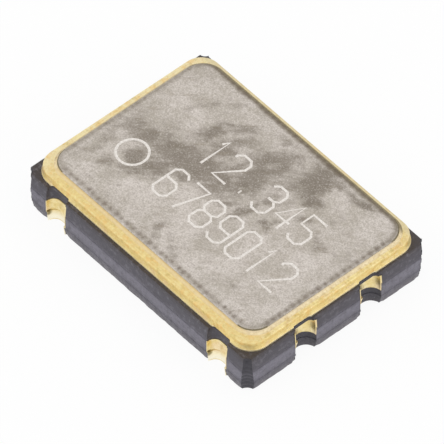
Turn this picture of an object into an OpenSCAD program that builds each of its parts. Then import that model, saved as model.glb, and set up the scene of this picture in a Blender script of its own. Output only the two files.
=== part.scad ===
// Surface-mount crystal oscillator in a seam-welded ceramic package.
// Millimetres, +Z up. The origin is on the board plane under the middle of the body,
// X runs along the long side and Y along the short side.

/* [Ceramic body] */
// Length over the snapped faces, along X
body_length = 7; // [6.8:0.1:8]
// Width over the snapped faces, along Y
body_width = 5; // [4.8:0.1:6]
// Thickness of layer 1, the floor under the die
floor_layer = 0.25; // [0.2:0.05:0.5]
// Thickness of layer 2, the lower half of the die pit
pit_layer = 0.2; // [0.1:0.05:0.4]
// Thickness of layer 3, which carries the bond fingers
finger_layer = 0.15; // [0.1:0.05:0.3]
// Thickness of layer 4, which carries the crystal
shelf_layer = 0.3; // [0.25:0.05:0.5]
// Thickness of layer 5, the rim under the seal ring
rim_layer = 0.1; // [0.1:0.02:0.3]
// Height of the band that the upper score line leaves on each side face
score_height = 0.4; // [0.2:0.05:0.6]
// How far that band leans in at the top edge
score_inset = 0.035; // [0.01:0.005:0.05]
// Height of the broken band along the lower edge
foot_height = 0.2; // [0.1:0.05:0.3]
// How far the broken band leans in at the lower edge
foot_inset = 0.035; // [0.01:0.005:0.05]
// Radius of the punched hole that leaves each body corner hollow, upper layers
corner_hole = 0.155; // [0.12:0.005:0.2]
// Radius of the same hole in layers 1 and 2
corner_hole_low = 0.18; // [0.12:0.005:0.22]

/* [Terminals] */
// Spacing of the terminals along X
terminal_pitch = 5.08; // [4.8:0.02:5.3]
// Width of the plated half slot in the long side, layers 2 to 4
slot_width = 0.62; // [0.58:0.02:0.8]
// Width of the same slot in layer 1
slot_width_low = 0.53; // [0.46:0.01:0.56]
// Depth of the plated half slot
slot_depth = 0.225; // [0.2:0.005:0.3]
// Radius of the two inner corners of the half slot
slot_corner = 0.19; // [0.12:0.01:0.2]
// Thickness of the plated metal, also under the solder pads
plating = 0.02; // [0.015:0.005:0.04]
// Length of a solder pad along X
pad_length = 1.4; // [1.1:0.05:1.6]
// Depth of a solder pad from the body's lower edge inwards
pad_depth = 1.1; // [0.8:0.05:1.4]
// Margin between a solder pad and the body's lower edge
pad_margin = 0.03; // [0.02:0.01:0.1]
// Corner radius of a solder pad
pad_corner = 0.1; // [0.05:0.01:0.2]

/* [Side contacts] */
// Spacing of the two contacts on each short side
contact_pitch = 1.8; // [1.6:0.05:2.2]
// Radius of the punched hole that each contact lines
contact_hole = 0.327; // [0.25:0.005:0.36]
// Distance of that hole's centre outside the short face
contact_offset = 0.04; // [0:0.01:0.08]

/* [Rim notches] */
// Width of the notch that layer 5 has over each terminal
rim_slot_width = 0.58; // [0.4:0.02:0.62]
// Depth of that notch
rim_slot_depth = 0.165; // [0.1:0.005:0.19]
// Width of the notch that layer 5 has over each side contact
rim_dent_width = 0.52; // [0.4:0.02:0.6]
// Depth of that notch
rim_dent_depth = 0.115; // [0.08:0.005:0.14]
// Radius of the inner corners of both notches
rim_notch_corner = 0.1; // [0.05:0.01:0.11]

/* [Seal] */
// Margin from the short face to the brazed frame
frame_margin_x = 0.085; // [0.07:0.005:0.2]
// Margin from the long face to the brazed frame
frame_margin_y = 0.122; // [0.08:0.005:0.2]
// Corner radius of the brazed frame
frame_corner = 0.48; // [0.4:0.02:0.6]
// Thickness of the brazed frame
frame_thickness = 0.04; // [0.03:0.005:0.06]
// Gap between the brazed frame and the notches in layer 5
frame_gap = 0.01; // [0.005:0.005:0.02]
// Height that the braze climbs up the side of the seal ring
braze_height = 0.1; // [0.04:0.01:0.14]
// Margin from the edge of the frame to the foot of the braze
braze_margin = 0.005; // [0.002:0.001:0.01]
// Step from the edge of the brazed frame in to the seal ring
ring_step = 0.027; // [0.02:0.005:0.06]
// Width of the seal ring
ring_width = 0.53; // [0.45:0.01:0.6]
// Height of the seal ring
ring_height = 0.2; // [0.15:0.01:0.4]
// Corner radius of the opening in the seal ring
ring_opening_corner = 0.3; // [0.2:0.02:0.4]
// Rounding along the upper outer edge of the seal ring
ring_round = 0.03; // [0.01:0.005:0.05]
// Step from the edge of the seal ring in to the lid
lid_step = 0.18; // [0.12:0.01:0.24]
// How far the lid was laid off centre along X
lid_shift_x = 0.015; // [-0.03:0.005:0.03]
// How far the lid was laid off centre along Y
lid_shift_y = 0.04; // [-0.04:0.005:0.04]
// Thickness of the lid
lid_thickness = 0.1; // [0.08:0.01:0.15]
// Rounding along the upper edge of the lid
lid_round = 0.03; // [0.01:0.005:0.04]
// Size of the welded fillet between the lid and the seal ring
weld_size = 0.07; // [0.02:0.005:0.07]

/* [Crystal] */
// Length of the quartz blank
crystal_length = 4.8; // [4.4:0.1:5]
// Width of the quartz blank
crystal_width = 2.6; // [2.2:0.1:2.8]
// Thickness of the quartz blank
crystal_thickness = 0.08; // [0.05:0.01:0.1]
// Gap between the held end of the blank and the rim layer
crystal_gap = 0.3; // [0.2:0.02:0.36]
// Length of the held end that lies over its shelf
crystal_grip = 0.7; // [0.6:0.05:0.8]
// Length of the free end that lies over its shelf
crystal_lap = 0.35; // [0.3:0.05:0.5]
// Length of the electrode on each face of the blank
electrode_length = 2.2; // [1.8:0.1:2.6]
// Width of the electrode on each face of the blank
electrode_width = 1.6; // [1.2:0.1:1.9]
// Thickness of the electrode films, drawn thicker than the real ones
electrode_film = 0.02; // [0.015:0.005:0.025]
// Width of the tab that leads from an electrode to the held end
tab_width = 0.45; // [0.3:0.05:0.5]
// Spacing of the two mounting points across the blank
mount_spacing = 1.7; // [1.4:0.05:1.8]
// Diameter of the conductive adhesive under each mounting point
glue_diameter = 0.42; // [0.3:0.02:0.44]
// Thickness of the conductive adhesive
glue_thickness = 0.04; // [0.03:0.005:0.06]
// Length of the pad under each spot of adhesive
mount_pad_length = 0.5; // [0.46:0.01:0.54]
// Width of the pad under each spot of adhesive
mount_pad_width = 0.6; // [0.46:0.02:0.8]
// Length of the rest under the free end
rest_length = 0.2; // [0.1:0.02:0.24]
// Width of the rest under the free end
rest_width = 1.5; // [1:0.1:2]
// Air gap between the rest and the free end
rest_gap = 0.01; // [0.005:0.005:0.02]

/* [Cavity and die] */
// Step from the seal ring's opening in to the opening in layer 5
rim_step = 0.06; // [0.03:0.01:0.1]
// Width of the ledge along the long sides, on top of layer 4
side_ledge = 0.3; // [0.2:0.05:0.35]
// Width of the finger shelf at each end of the die pit
finger_shelf = 0.75; // [0.6:0.05:0.8]
// Width of the finger shelf along the long sides of the die pit
finger_side = 0.4; // [0.3:0.05:0.5]
// Corner radius of the cavity openings
cavity_corner = 0.2; // [0.1:0.02:0.25]
// Length of the oscillator die
die_length = 1.5; // [1.1:0.1:1.6]
// Width of the oscillator die
die_width = 1.3; // [1.1:0.1:1.6]
// Thickness of the oscillator die
die_thickness = 0.18; // [0.12:0.02:0.2]
// Thickness of the die attach
die_attach_thickness = 0.02; // [0.015:0.005:0.03]
// Margin of the metal pad around the die
die_pad_margin = 0.1; // [0.05:0.05:0.2]
// Thickness of the printed metal inside the cavity
metal_thickness = 0.02; // [0.015:0.005:0.03]
// Number of bond wires at each end of the die
wires_per_end = 3; // [1:1:4]
// Spacing of the bond wires
wire_pitch = 0.34; // [0.3:0.02:0.38]
// Diameter of a bond wire
wire_diameter = 0.03; // [0.025:0.005:0.04]
// Height of a wire's loop over the line between its two ends
wire_rise = 0.16; // [0.1:0.01:0.18]
// Distance from the die's edge to the middle of a ball bond
ball_inset = 0.12; // [0.08:0.01:0.16]
// Diameter of a ball bond
ball_diameter = 0.08; // [0.06:0.01:0.1]
// Height of a ball bond and of the flattened end on the finger
bond_height = 0.03; // [0.03:0.005:0.04]
// Length of the flattened end on the finger
stitch_length = 0.12; // [0.08:0.01:0.14]
// Length of a bond finger
finger_length = 0.42; // [0.3:0.02:0.46]
// Width of a bond finger
finger_width = 0.2; // [0.14:0.02:0.24]
// Margin between the die pit and a bond finger
finger_margin = 0.12; // [0.08:0.02:0.14]

/* [Hidden] */
$fn = 64;

// How far a cutting tool runs past the face that it cuts
past = 0.1;

half_length = body_length / 2;
half_width = body_width / 2;

// Heights of the layer faces above the board
z_floor_bottom = plating;
z_floor = z_floor_bottom + floor_layer;
z_pit = z_floor + pit_layer;
z_finger = z_pit + finger_layer;
z_shelf = z_finger + shelf_layer;
z_rim = z_shelf + rim_layer;
z_ring = z_rim + frame_thickness;
z_lid = z_ring + ring_height;
body_height = z_rim - z_floor_bottom;

// Half sizes of the seal parts, [along X, along Y]
frame_half = [half_length - frame_margin_x, half_width - frame_margin_y];
ring_half = [frame_half[0] - ring_step, frame_half[1] - ring_step];
ring_corner = frame_corner - ring_step;
opening_half = [ring_half[0] - ring_width, ring_half[1] - ring_width];
lid_half = [ring_half[0] - lid_step, ring_half[1] - lid_step];
lid_corner = frame_corner - ring_step / 2;
lid_centre = [lid_shift_x, lid_shift_y];

// The weld climbs no higher than the straight part of the lid's edge
weld_fillet_size = min(weld_size, lid_thickness - lid_round);

// The braze is hollow: one arc, upright where it leaves the ring
braze_width = ring_step - braze_margin;
braze_radius = (braze_width * braze_width + braze_height * braze_height) / (2 * braze_width);
rim_half = [opening_half[0] - rim_step, opening_half[1] - rim_step];

// Crystal: its ends along X and the height of its lower face
crystal_left = -rim_half[0] + crystal_gap;
crystal_right = crystal_left + crystal_length;
z_glue = z_shelf + metal_thickness;
z_crystal = z_glue + glue_thickness + electrode_film;
mount_x = crystal_left + crystal_grip / 2;
electrode_left = (crystal_left + crystal_right - electrode_length) / 2;

// Opening in layer 4 and the die pit, as [left, right, half width]
well = [crystal_left + crystal_grip, crystal_right - crystal_lap, rim_half[1] - side_ledge];
pit = [well[0] + finger_shelf, well[1] - finger_shelf, well[2] - finger_side];
die_x = (pit[0] + pit[1]) / 2;
z_die_attach = z_floor + metal_thickness;
z_die = z_die_attach + die_attach_thickness;
z_die_top = z_die + die_thickness;
z_finger_top = z_finger + metal_thickness;

gold = [0.88, 0.78, 0.52];
ceramic_colour = [0.3, 0.29, 0.32];

// Rectangle with round corners, centred
module round_rectangle(half, corner) {
    square([2 * half[0], 2 * (half[1] - corner)], center = true);
    square([2 * (half[0] - corner), 2 * half[1]], center = true);
    for (x = [-1, 1], y = [-1, 1])
        translate([x * (half[0] - corner), y * (half[1] - corner)]) circle(corner);
}

// Sweeps a section once round a rounded rectangle.
// X in the section points outwards from the outline, Y in it points up.
module rim_sweep(half, corner) {
    for (turn = [0, 180]) {
        rotate([0, 0, turn])
            translate([half[0], 0, 0])
                rotate([90, 0, 0])
                    linear_extrude(2 * (half[1] - corner), center = true) children();
        rotate([0, 0, turn + 90])
            translate([half[1], 0, 0])
                rotate([90, 0, 0])
                    linear_extrude(2 * (half[0] - corner), center = true) children();
    }
    for (x = [-1, 1], y = [-1, 1])
        translate([x * (half[0] - corner), y * (half[1] - corner), 0])
            rotate([0, 0, atan2(y, x) - 45])
                rotate_extrude(angle = 90) translate([corner, 0]) children();
}

// Plate with round corners and a rounded upper edge
module rounded_plate(half, corner, height, edge) {
    core = [half[0] - edge, half[1] - edge];
    linear_extrude(height - edge) round_rectangle(half, corner);
    linear_extrude(height) round_rectangle(core, corner - edge);
    translate([0, 0, height - edge])
        rim_sweep(core, corner - edge)
            intersection() {
                circle(edge);
                square(edge);
            }
}

// Section of the ceramic across two opposite faces, lower edge at zero
module body_section(half) {
    polygon([
        [-half + foot_inset, 0],
        [half - foot_inset, 0],
        [half, foot_height],
        [half, body_height - score_height],
        [half - score_inset, body_height],
        [-half + score_inset, body_height],
        [-half, body_height - score_height],
        [-half, foot_height]
    ]);
}

// Outer block of the ceramic, with the leaning bands that scoring and snapping leave
module body_block() {
    translate([0, 0, z_floor_bottom])
        intersection() {
            rotate([90, 0, 0])
                linear_extrude(body_width + past, center = true) body_section(half_length);
            rotate([90, 0, 90])
                linear_extrude(body_length + past, center = true) body_section(half_width);
        }
}

// Half slot open towards -Y, its mouth on the X axis
module half_slot(width, depth, corner) {
    translate([-width / 2, -past]) square([width, past + depth - corner]);
    translate([-width / 2 + corner, -past]) square([width - 2 * corner, past + depth]);
    for (side = [-1, 1])
        translate([side * (width / 2 - corner), depth - corner]) circle(corner);
}

// Half slot of a terminal, wider and deeper by grow
module terminal_slot(width, grow) {
    half_slot(width + 2 * grow, slot_depth + grow, slot_corner + grow);
}

// Places children at terminal 1 to 4, with +Y pointing into the body.
// Terminal 1 is at (-X, -Y) and the count runs anticlockwise seen from above.
module at_terminal(number) {
    side = number < 3 ? 1 : -1;
    end = number == 1 || number == 4 ? -1 : 1;
    translate([end * terminal_pitch / 2, -side * half_width, 0])
        rotate([0, 0, side > 0 ? 0 : 180]) children();
}

// Places children at side contact 1 to 4, with +Y pointing into the body.
// Contacts 1 and 2 are on the +X face, 3 and 4 on the -X face.
module at_contact(number) {
    side = number < 3 ? 1 : -1;
    row = number == 1 || number == 4 ? -1 : 1;
    translate([side * half_length, row * contact_pitch / 2, 0])
        rotate([0, 0, side > 0 ? 90 : -90]) children();
}

// Hole of a side contact, drawn as its mouth stands on the X axis
module contact_circle(radius) {
    translate([0, -contact_offset]) circle(radius);
}

// Notches of layer 5, each wider and deeper by grow
module rim_notches(grow) {
    for (number = [1:4]) {
        at_terminal(number)
            half_slot(rim_slot_width + 2 * grow, rim_slot_depth + grow, rim_notch_corner + grow);
        at_contact(number)
            half_slot(rim_dent_width + 2 * grow, rim_dent_depth + grow, rim_notch_corner + grow);
    }
}

// Rectangle of the cavity between two X values, with round corners
module cavity_opening(left, right, half_y) {
    translate([(left + right) / 2, 0]) round_rectangle([(right - left) / 2, half_y], cavity_corner);
}

// Fired stack of five layers: snapped faces, punched notches and the stepped cavity
module ceramic_base() {
    color(ceramic_colour)
        difference() {
            body_block();
            for (x = [-1, 1], y = [-1, 1])
                translate([x * half_length, y * half_width, 0]) {
                    cylinder(h = z_rim + past, r = corner_hole);
                    cylinder(h = z_pit, r = corner_hole_low);
                }
            for (number = [1:4]) {
                at_terminal(number) {
                    linear_extrude(z_shelf) terminal_slot(slot_width_low, plating);
                    translate([0, 0, z_floor])
                        linear_extrude(z_shelf - z_floor) terminal_slot(slot_width, plating);
                }
                at_contact(number)
                    linear_extrude(z_shelf) contact_circle(contact_hole);
            }
            linear_extrude(z_rim + past) rim_notches(0);
            translate([0, 0, z_shelf])
                linear_extrude(rim_layer + past) round_rectangle(rim_half, cavity_corner);
            translate([0, 0, z_finger])
                linear_extrude(shelf_layer + past) cavity_opening(well[0], well[1], well[2]);
            translate([0, 0, z_floor])
                linear_extrude(z_shelf - z_floor) cavity_opening(pit[0], pit[1], pit[2]);
        }
}

// Brazed and plated frame on top of the ceramic with the braze that climbs the seal ring,
// all cut back at the rim notches
module seal_frame() {
    color(gold)
        translate([0, 0, z_rim])
            difference() {
                union() {
                    linear_extrude(frame_thickness) round_rectangle(frame_half, frame_corner);
                    translate([0, 0, frame_thickness])
                        rim_sweep(ring_half, ring_corner)
                            difference() {
                                square([braze_width, braze_height]);
                                translate([braze_radius, braze_height]) circle(braze_radius);
                            }
                }
                translate([0, 0, -past])
                    linear_extrude(frame_thickness + braze_height + 2 * past) {
                        round_rectangle(opening_half, ring_opening_corner);
                        rim_notches(frame_gap);
                    }
            }
}

// Seal ring, a stamped frame with a rounded outer edge
module seal_ring() {
    color(gold)
        translate([0, 0, z_ring])
            difference() {
                rounded_plate(ring_half, ring_corner, ring_height, ring_round);
                translate([0, 0, -past])
                    linear_extrude(ring_height + 2 * past)
                        round_rectangle(opening_half, ring_opening_corner);
            }
}

// Flat lid, welded on to the ring along its edge
module lid() {
    color([0.76, 0.72, 0.68])
        translate([lid_centre[0], lid_centre[1], z_lid])
            rounded_plate(lid_half, lid_corner, lid_thickness, lid_round);
}

// Metal that flowed into the corner between the ring and the lid's edge
module weld_fillet() {
    color([0.85, 0.77, 0.58])
        translate([lid_centre[0], lid_centre[1], z_lid])
            rim_sweep(lid_half, lid_corner)
                difference() {
                    square(weld_fillet_size);
                    translate([weld_fillet_size, weld_fillet_size]) circle(weld_fillet_size);
                }
}

// Plating of a half slot between two heights, from its outer width in to its inner width
module slot_lining(low, high, outer_width, inner_width) {
    translate([0, 0, low])
        linear_extrude(high - low)
            difference() {
                terminal_slot(outer_width, plating);
                terminal_slot(inner_width, 0);
            }
}

// Solder pad under the body with the plating that climbs its half slot,
// over the small step on top of layer 1
module terminal(number) {
    pad_centre = foot_inset + pad_margin + pad_depth / 2;
    color(gold) {
        intersection() {
            body_block();
            at_terminal(number) {
                slot_lining(0, z_floor + plating, slot_width_low, slot_width_low);
                slot_lining(z_floor, z_floor + plating, slot_width, slot_width_low);
                slot_lining(z_floor, z_finger, slot_width, slot_width);
            }
        }
        at_terminal(number)
            linear_extrude(plating)
                difference() {
                    translate([0, pad_centre])
                        round_rectangle([pad_length / 2, pad_depth / 2], pad_corner);
                    terminal_slot(slot_width_low, 0);
                }
    }
}

// Plated lining of a punched hole in a short face, in layers 3 and 4 only
module side_contact(number) {
    color(gold)
        intersection() {
            body_block();
            at_contact(number)
                translate([0, 0, z_pit])
                    linear_extrude(z_shelf - z_pit)
                        difference() {
                            contact_circle(contact_hole);
                            contact_circle(contact_hole - plating);
                        }
        }
}

// Quartz blank, held at its left end and free at its right end
module crystal_blank() {
    color([0.86, 0.89, 0.9, 0.8])
        translate([crystal_left, -crystal_width / 2, z_crystal])
            cube([crystal_length, crystal_width, crystal_thickness]);
}

// Film on one face of the blank, with its tab out to the held end
module electrode_film(tab_y) {
    translate([electrode_left, -electrode_width / 2, 0])
        cube([electrode_length, electrode_width, electrode_film]);
    translate([crystal_left, tab_y - tab_width / 2, 0])
        cube([electrode_left - crystal_left + past, tab_width, electrode_film]);
}

// Upper electrode, whose tab wraps round the held end to its mounting point
module electrode_top() {
    tab_y = mount_spacing / 2;
    color([0.85, 0.85, 0.83]) {
        translate([0, 0, z_crystal + crystal_thickness]) electrode_film(tab_y);
        translate([crystal_left - electrode_film, tab_y - tab_width / 2, z_crystal - electrode_film])
            cube([electrode_film, tab_width, crystal_thickness + 2 * electrode_film]);
        translate([crystal_left - electrode_film, tab_y - tab_width / 2, z_crystal - electrode_film])
            cube([crystal_grip - past, tab_width, electrode_film]);
    }
}

// Lower electrode, whose tab is its own mounting point
module electrode_bottom() {
    color([0.85, 0.85, 0.83])
        translate([0, 0, z_crystal - electrode_film]) electrode_film(-mount_spacing / 2);
}

// Metal pad on the left shelf under one spot of adhesive
module crystal_pad(side) {
    color(gold)
        translate([
            mount_x - mount_pad_length / 2,
            side * mount_spacing / 2 - mount_pad_width / 2,
            z_shelf
        ])
            cube([mount_pad_length, mount_pad_width, metal_thickness]);
}

// Spot of conductive adhesive, bulged a little between pad and blank
module adhesive_spot(side) {
    radius = glue_diameter / 2;
    bulge = glue_thickness / 2;
    color([0.7, 0.7, 0.7])
        translate([mount_x, side * mount_spacing / 2, z_glue])
            rotate_extrude() {
                square([radius - bulge, glue_thickness]);
                translate([radius - bulge, bulge])
                    intersection() {
                        circle(bulge);
                        translate([0, -bulge]) square([bulge, glue_thickness]);
                    }
            }
}

// Printed bar that catches the free end of the blank
module crystal_rest() {
    color([0.75, 0.7, 0.6])
        translate([
            crystal_right - (crystal_lap + rest_length) / 2,
            -rest_width / 2,
            z_shelf
        ])
            cube([rest_length, rest_width, z_crystal - rest_gap - z_shelf]);
}

// Metal printed on the cavity floor under the die
module die_pad() {
    length = die_length + 2 * die_pad_margin;
    width = die_width + 2 * die_pad_margin;
    color(gold)
        translate([die_x - length / 2, -width / 2, z_floor])
            cube([length, width, metal_thickness]);
}

// Conductive epoxy under the die
module die_attach() {
    color([0.6, 0.6, 0.6])
        translate([die_x - die_length / 2, -die_width / 2, z_die_attach])
            cube([die_length, die_width, die_attach_thickness]);
}

// Silicon die with the oscillator circuit
module oscillator_die() {
    color([0.35, 0.36, 0.42])
        translate([die_x - die_length / 2, -die_width / 2, z_die])
            cube([die_length, die_width, die_thickness]);
}

// Places children at each bond, at the left or right end of the die, with +X pointing outwards
module at_bonds() {
    for (end = [-1, 1], row = [0:wires_per_end - 1])
        translate([die_x, (row - (wires_per_end - 1) / 2) * wire_pitch, 0])
            mirror([end > 0 ? 0 : 1, 0, 0]) children();
}

// Distances from the die's middle to the ball, the finger and the flattened wire end
pit_half_length = (pit[1] - pit[0]) / 2;
ball_x = die_length / 2 - ball_inset;
finger_x = pit_half_length + finger_margin;
stitch_x = finger_x + finger_length / 2;

// Metal traces on layer 3 that take the outer ends of the wires
module bond_fingers() {
    color(gold)
        at_bonds()
            translate([finger_x, -finger_width / 2, z_finger])
                cube([finger_length, finger_width, metal_thickness]);
}

// Gold wires looped from the die up to the fingers, each one arc with its two bonds
module bond_wires() {
    start = [ball_x, z_die_top + bond_height / 2];
    end = [stitch_x, z_finger_top + bond_height / 2];
    run = end - start;
    chord = norm(run);
    loop_radius = (chord * chord / 4 + wire_rise * wire_rise) / (2 * wire_rise);
    lean = atan2(run[1], run[0]);
    sink = loop_radius - wire_rise;
    centre = (start + end) / 2 + sink * [sin(lean), -cos(lean)];
    sweep = 2 * asin(chord / (2 * loop_radius));
    color(gold)
        at_bonds() {
            translate([ball_x, 0, z_die_top])
                cylinder(h = bond_height, d = ball_diameter);
            translate([centre[0], 0, centre[1]])
                rotate([90, 0, 0])
                    rotate([0, 0, 90 + lean - sweep / 2])
                        rotate_extrude(angle = sweep)
                            translate([loop_radius, 0]) circle(d = wire_diameter);
            translate([stitch_x - stitch_length / 2, -ball_diameter / 2, z_finger_top])
                cube([stitch_length, ball_diameter, bond_height]);
        }
}

ceramic_base();
seal_frame();
seal_ring();
weld_fillet();
lid();
terminal(1);  // terminal_1
terminal(2);  // terminal_2
terminal(3);  // terminal_3
terminal(4);  // terminal_4
side_contact(1);  // side_contact_1
side_contact(2);  // side_contact_2
side_contact(3);  // side_contact_3
side_contact(4);  // side_contact_4
crystal_blank();
electrode_top();
electrode_bottom();
crystal_pad(-1);  // crystal_pad_1
crystal_pad(1);  // crystal_pad_2
adhesive_spot(-1);  // adhesive_spot_1
adhesive_spot(1);  // adhesive_spot_2
crystal_rest();
die_pad();
die_attach();
oscillator_die();
bond_fingers();
bond_wires();
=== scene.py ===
import math
import random

import bmesh
import bpy
from mathutils import Matrix, Vector, noise


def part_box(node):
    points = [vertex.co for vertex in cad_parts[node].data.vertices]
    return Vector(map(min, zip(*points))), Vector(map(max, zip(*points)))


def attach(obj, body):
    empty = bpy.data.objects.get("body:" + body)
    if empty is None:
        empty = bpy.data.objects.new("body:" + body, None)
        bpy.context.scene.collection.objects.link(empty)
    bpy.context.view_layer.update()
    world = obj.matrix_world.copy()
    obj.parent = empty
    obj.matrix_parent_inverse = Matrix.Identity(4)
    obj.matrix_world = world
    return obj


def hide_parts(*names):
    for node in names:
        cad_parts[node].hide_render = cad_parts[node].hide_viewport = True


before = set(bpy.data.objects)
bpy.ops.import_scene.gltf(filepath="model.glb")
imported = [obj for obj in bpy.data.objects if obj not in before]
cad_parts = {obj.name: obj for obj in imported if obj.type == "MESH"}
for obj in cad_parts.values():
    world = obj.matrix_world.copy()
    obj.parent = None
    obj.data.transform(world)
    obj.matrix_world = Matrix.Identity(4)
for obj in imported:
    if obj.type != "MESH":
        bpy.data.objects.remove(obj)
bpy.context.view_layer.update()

perMetre = 1000  # pieces are modelled in millimetres and brought down to metres when they are done
samePoint = 0.0001  # millimetres; points nearer than this are one point
overrun = 0.1  # how far a cutter runs past the face that it cuts, millimetres


# Small helpers for selecting and shaping

def clearSelection():
    if bpy.context.object and bpy.context.object.mode != "OBJECT":
        bpy.ops.object.mode_set(mode="OBJECT")
    bpy.ops.object.select_all(action="DESELECT")


def makeActive(piece):
    clearSelection()
    piece.select_set(True)
    bpy.context.view_layer.objects.active = piece


def startEditing(piece):
    makeActive(piece)
    bpy.ops.object.mode_set(mode="EDIT")


def stopEditing():
    bpy.ops.object.mode_set(mode="OBJECT")


def pickFaces(piece, test):  # in edit mode, by the middle of each face and its normal
    bpy.ops.mesh.select_mode(type="FACE")
    bpy.ops.mesh.select_all(action="DESELECT")
    shape = bmesh.from_edit_mesh(piece.data)
    for face in shape.faces:
        face.select_set(test(face.calc_center_median(), face.normal))
    bmesh.update_edit_mesh(piece.data)


def pickEdges(piece, test):  # in edit mode, by the two ends of each edge
    bpy.ops.mesh.select_mode(type="EDGE")
    bpy.ops.mesh.select_all(action="DESELECT")
    shape = bmesh.from_edit_mesh(piece.data)
    for edge in shape.edges:
        edge.select_set(test(edge.verts[0].co, edge.verts[1].co))
    bmesh.update_edit_mesh(piece.data)


def pickTopEdges(piece, level):  # in edit mode
    pickEdges(piece, lambda start, end: min(start.z, end.z) > level - samePoint)


def pickPoints(piece, test):  # in edit mode
    bpy.ops.mesh.select_mode(type="VERT")
    bpy.ops.mesh.select_all(action="DESELECT")
    shape = bmesh.from_edit_mesh(piece.data)
    for point in shape.verts:
        point.select_set(test(point.co))
    shape.select_flush_mode()
    bmesh.update_edit_mesh(piece.data)


def namePiece(name):  # the primitive just added, with its place and size put into its mesh
    piece = bpy.context.object
    piece.name = name
    piece.data.name = name
    bpy.ops.object.transform_apply(location=True, rotation=True, scale=True)
    return piece


def closeShape(piece):  # one skin, all faces outwards
    startEditing(piece)
    bpy.ops.mesh.select_all(action="SELECT")
    bpy.ops.mesh.remove_doubles(threshold=samePoint)
    bpy.ops.mesh.normals_make_consistent(inside=False)
    stopEditing()


def copyTo(piece, place, name):  # a copy with its own mesh
    twin = piece.copy()
    twin.data = piece.data.copy()
    twin.name = name
    twin.data.name = name
    bpy.context.collection.objects.link(twin)
    twin.data.transform(place)
    return twin


def joinAll(parts):
    clearSelection()
    for part in parts:
        part.select_set(True)
    bpy.context.view_layer.objects.active = parts[0]
    bpy.ops.object.join()
    return parts[0]


def combine(piece, tool, operation):  # the tool is used up
    makeActive(piece)
    step = piece.modifiers.new("combine", "BOOLEAN")
    step.operation = operation
    step.solver = "EXACT"
    step.object = tool
    bpy.ops.object.modifier_apply(modifier=step.name)
    bpy.data.objects.remove(tool)


def softenEdges(piece, width, steps=2, angle=40):
    makeActive(piece)
    step = piece.modifiers.new("edges", "BEVEL")
    step.width = width
    step.segments = steps
    step.limit_method = "ANGLE"
    step.angle_limit = math.radians(angle)
    bpy.ops.object.modifier_apply(modifier=step.name)


def cutAcross(piece, axis, places, test=lambda middle, normal: True):
    # adds an edge row at each place along the axis, 0 to 2 for X to Z, to the faces that pass the test
    direction = Vector([float(axis == n) for n in range(3)])
    startEditing(piece)
    for place in places:
        pickFaces(piece, test)
        bpy.ops.mesh.bisect(plane_co=direction * place, plane_no=direction, threshold=samePoint)
    stopEditing()


# Solids that several pieces start from

def blockPiece(name, low, high):
    clearSelection()
    middle = (Vector(low) + Vector(high)) / 2
    bpy.ops.mesh.primitive_cube_add(size=1, location=middle, scale=Vector(high) - Vector(low))
    return namePiece(name)


def rodPiece(name, radius, low, high, centre=(0, 0), sides=48):
    clearSelection()
    bpy.ops.mesh.primitive_cylinder_add(
        vertices=sides, radius=radius, depth=high - low, location=(*centre, (low + high) / 2))
    return namePiece(name)


def sheetPiece(name, width, depth, centre, height):
    clearSelection()
    bpy.ops.mesh.primitive_plane_add(size=1, location=(*centre, height))
    bpy.context.object.scale = (width, depth, 1)
    return namePiece(name)


def roundCorners(corner, arc):  # in edit mode, at the points that are picked
    bpy.ops.mesh.bevel(
        offset_type="OFFSET", offset=corner, segments=arc, profile=0.5, affect="VERTICES")


def drawUp(height):  # in edit mode, the whole sheet
    bpy.ops.mesh.select_all(action="SELECT")
    bpy.ops.mesh.extrude_region_move(TRANSFORM_OT_translate={"value": (0, 0, height)})


def platePiece(name, half, corner, low, high, arc=16, centre=(0, 0)):
    piece = sheetPiece(name, 2 * half[0], 2 * half[1], centre, low)
    startEditing(piece)
    bpy.ops.mesh.select_all(action="SELECT")
    roundCorners(corner, arc)
    drawUp(high - low)
    stopEditing()
    closeShape(piece)
    return piece


def slotPiece(name, width, depth, corner, low, high, mouth=overrun, arc=12):
    # half slot with its mouth on the X axis, reaching into +Y, its two inner corners rounded
    piece = sheetPiece(name, width, depth + mouth, (0, (depth - mouth) / 2), low)
    startEditing(piece)
    pickPoints(piece, lambda point: point.y > 0)
    roundCorners(corner, arc)
    drawUp(high - low)
    stopEditing()
    closeShape(piece)
    return piece


# Sizes that are read from the frame

def boxOf(node):
    low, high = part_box(node)
    return low * perMetre, high * perMetre


def middleOf(node):
    low, high = boxOf(node)
    return (low + high) / 2


ceramicLow, ceramicHigh = boxOf("ceramic_base")
frameLow, frameHigh = boxOf("seal_frame")
ringLow, ringHigh = boxOf("seal_ring")
lidLow, lidHigh = boxOf("lid")
lidHalf = (lidHigh.xy - lidLow.xy) / 2
lidMiddle = (lidHigh.xy + lidLow.xy) / 2


def turnedTo(x, y, degrees):
    return Matrix.Translation((x, y, 0)) @ Matrix.Rotation(math.radians(degrees), 4, "Z")


# Where a slot's own frame goes for terminal 1 to 4 and for side contact 1 to 4
terminalSpots = [
    turnedTo(middleOf(f"terminal_{n}").x, ceramicLow.y if n < 3 else ceramicHigh.y, 0 if n < 3 else 180)
    for n in (1, 2, 3, 4)
]
contactSpots = [
    turnedTo(ceramicHigh.x if n < 3 else ceramicLow.x, middleOf(f"side_contact_{n}").y, 90 if n < 3 else -90)
    for n in (1, 2, 3, 4)
]


# Shader helpers

def tone(red, green, blue):  # a colour as a screen shows it, 0 to 255, made linear
    linear = []
    for part in (red, green, blue):
        part = part / 255
        linear.append(part / 12.92 if part <= 0.04045 else ((part + 0.055) / 1.055) ** 2.4)
    return (*linear, 1.0)


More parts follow.
